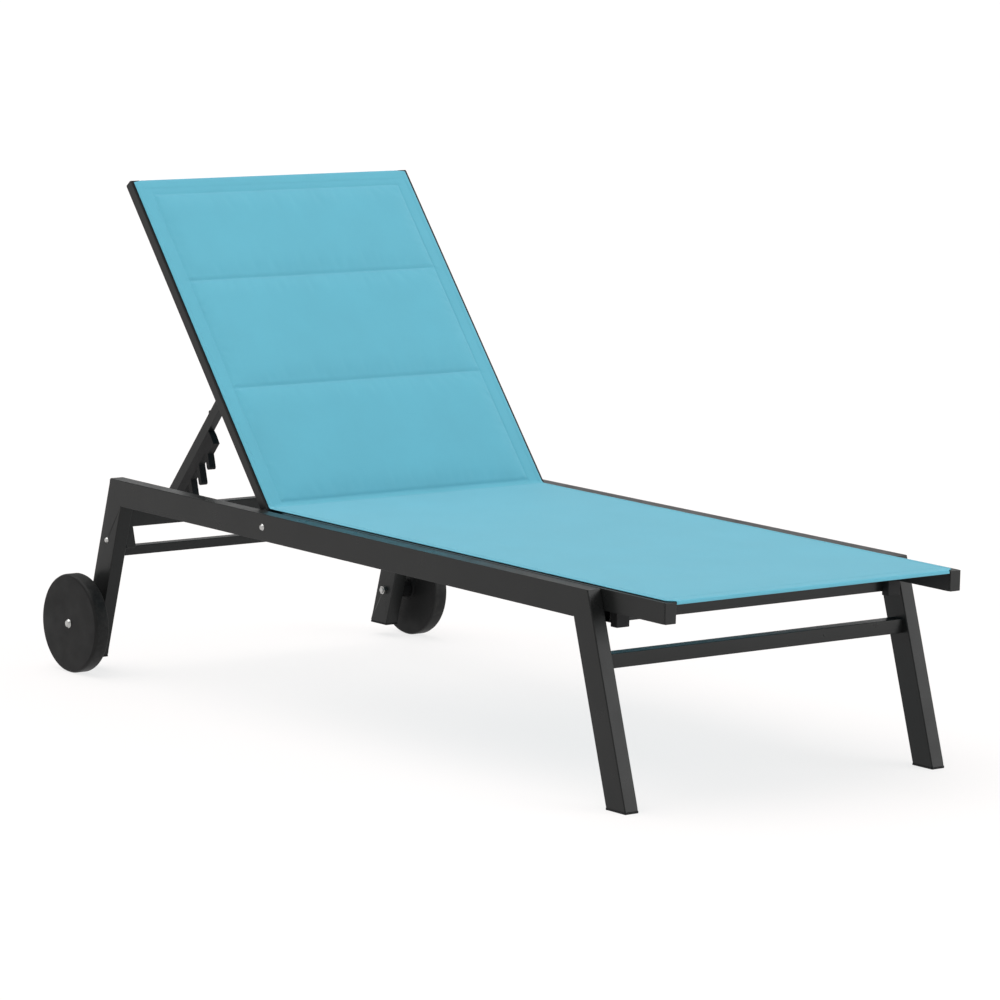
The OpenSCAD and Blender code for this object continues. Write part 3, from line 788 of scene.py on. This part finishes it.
def build_stitches(target):
    """Thread stitches laid on the finished cloth surface."""
    tree = BVHTree.FromObject(target, bpy.context.evaluated_depsgraph_get())
    verts, faces = [], []
    rng = random.Random(5)
    for (s, y), (ds, dy) in stitch_places():
        if abs(y) > PAD_Y:
            y *= float(half_width(np.array(s))) / EDGE_Y
        half = REACH_X if ds else REACH_Y
        pts = []
        for end in (-1, 0, 1):
            ps = s + ds * end * half + rng.uniform(-WANDER, WANDER) * dy
            py = y + dy * end * half + rng.uniform(-WANDER, WANDER) * ds
            found = on_cloth(tree, ps, py)
            if found is None:
                break
            pts.append(found)
        if len(pts) < 3:
            continue
        (a, _), (b, up), (c, _) = pts
        side = (c - a).normalized().cross(up).normalized()
        base = len(verts)
        for place, fat in STATIONS:
            centre = a.lerp(b, place + 1) if place < 0 else b.lerp(c, place)
            centre = centre + up * (THREAD_UP * fat + THREAD_END_UP * (1 - fat))
            r = THREAD_R * fat + THREAD_END_R * (1 - fat)
            for q in range(RING):
                ang = 2 * math.pi * q / RING
                verts.append(centre + side * (r * math.cos(ang)) + up * (r * math.sin(ang) * 0.8))
        for i in range(len(STATIONS) - 1):
            for q in range(RING):
                v = base + i * RING + q
                w = base + i * RING + (q + 1) % RING
                faces.append((v, w, w + RING, v + RING))
        faces.append(tuple(base + q for q in reversed(range(RING))))
        faces.append(tuple(base + (len(STATIONS) - 1) * RING + q for q in range(RING)))
    o = new_object("sling_stitching", [tuple(v) for v in verts], faces)
    face_out(o)
    o.data.materials.append(sewing)
    return o


stitches = build_stitches(sling)

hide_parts("seat_sling", "back_sling")
for piece in (sling, stitches):
    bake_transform(piece)


# ------------------------------------------------------------------ floor, light
WHITE = (1.0, 1.0, 1.0, 1)
FLOOR_R = 90.0
# painted tint: the floor is warmed to cancel the blue light that the cloth throws into its shadow
FLOOR_TONES = (0.178, 0.162, 0.157), (0.182, 0.166, 0.161)  # warm, against the cloth's blue cast
FLOOR_GLOW, FRONT_GLOW = 0.775, 1.4
FRONT_WAY, FRONT_FILL = (0.85, 0.53, 0.0), (1.1, 2.2)
SKY_LEAN, SKY_RANGE = (-0.1, -0.75, 0.55), (0.22, 0.66)     # brighter on the near side and above
HORIZON, HORIZON_GLOW = (0.07, 0.2), 1.03                   # a white band where the floor ends
FILL_WAY = Vector((0.72, 0.62, 0.3)).normalized()           # a soft light beyond the foot end
FILL_CONE, FILL_POWER = (0.86, 0.98), 3.15
SUN_WAY, SUN_POWER, SUN_SPREAD = (0.23, 0.2, -1.0), 2.5, math.radians(70)


def sky(world):
    """A soft studio sky with a white horizon and one broad fill light."""
    world.use_nodes = True
    g = Nodes(world.node_tree)
    way = g.coords("Generated")
    level = g.range(g.dot(way, SKY_LEAN), -1.0, 1.0, *SKY_RANGE)
    band = g.range(g.split(way)["Z"], *HORIZON, HORIZON_GLOW, 0.0, interpolation_type="SMOOTHSTEP")
    fill = g.range(g.dot(way, FILL_WAY), *FILL_CONE, 0.0, FILL_POWER, interpolation_type="SMOOTHSTEP")
    background = g.tree.nodes["Background"]
    background.inputs["Color"].default_value = WHITE
    g.link(g.math("ADD", g.math("MAXIMUM", level, band), fill), background.inputs["Strength"])


def floor_paint():
    """White paint that glows enough to stay white in the open, more so in front of the foot end."""
    m = Mat("floor_paint")
    p = m.coords()
    # the warm floor tones are a painted tint against the cloth's blue light in the floor shadow
    base = m.ramp(m.noise(p, 0.6, 2.0, 0.5), list(zip((0.3, 0.7), FLOOR_TONES)))
    m.link(base, m.shader.inputs["Base Color"])
    m.shader.inputs["Roughness"].default_value = 0.8
    m.shader.inputs["Specular IOR Level"].default_value = 0.1
    m.shader.inputs["Emission Color"].default_value = WHITE
    glow = m.range(m.dot(p, FRONT_WAY), *FRONT_FILL, FLOOR_GLOW, FRONT_GLOW)
    m.link(glow, m.shader.inputs["Emission Strength"])
    return m.material


def make_stage():
    """White floor, soft sky and one wide overhead light."""
    r = FLOOR_R
    floor = new_object("floor", [(-r, -r, 0), (r, -r, 0), (r, r, 0), (-r, r, 0)], [(0, 1, 2, 3)])
    floor.data.materials.append(floor_paint())
    bpy.context.scene.world = bpy.data.worlds.new("studio")
    sky(bpy.context.scene.world)
    data = bpy.data.lights.new("overhead", "SUN")
    data.energy, data.angle = SUN_POWER, SUN_SPREAD
    lamp = bpy.data.objects.new("overhead", data)
    bpy.context.scene.collection.objects.link(lamp)
    lamp.rotation_mode = "QUATERNION"
    lamp.rotation_quaternion = Vector(SUN_WAY).to_track_quat("-Z", "Y")


make_stage()
view = bpy.context.scene.view_settings
view.view_transform = "Standard"
view.look = "None"
bpy.context.scene.display_settings.display_device = "sRGB"
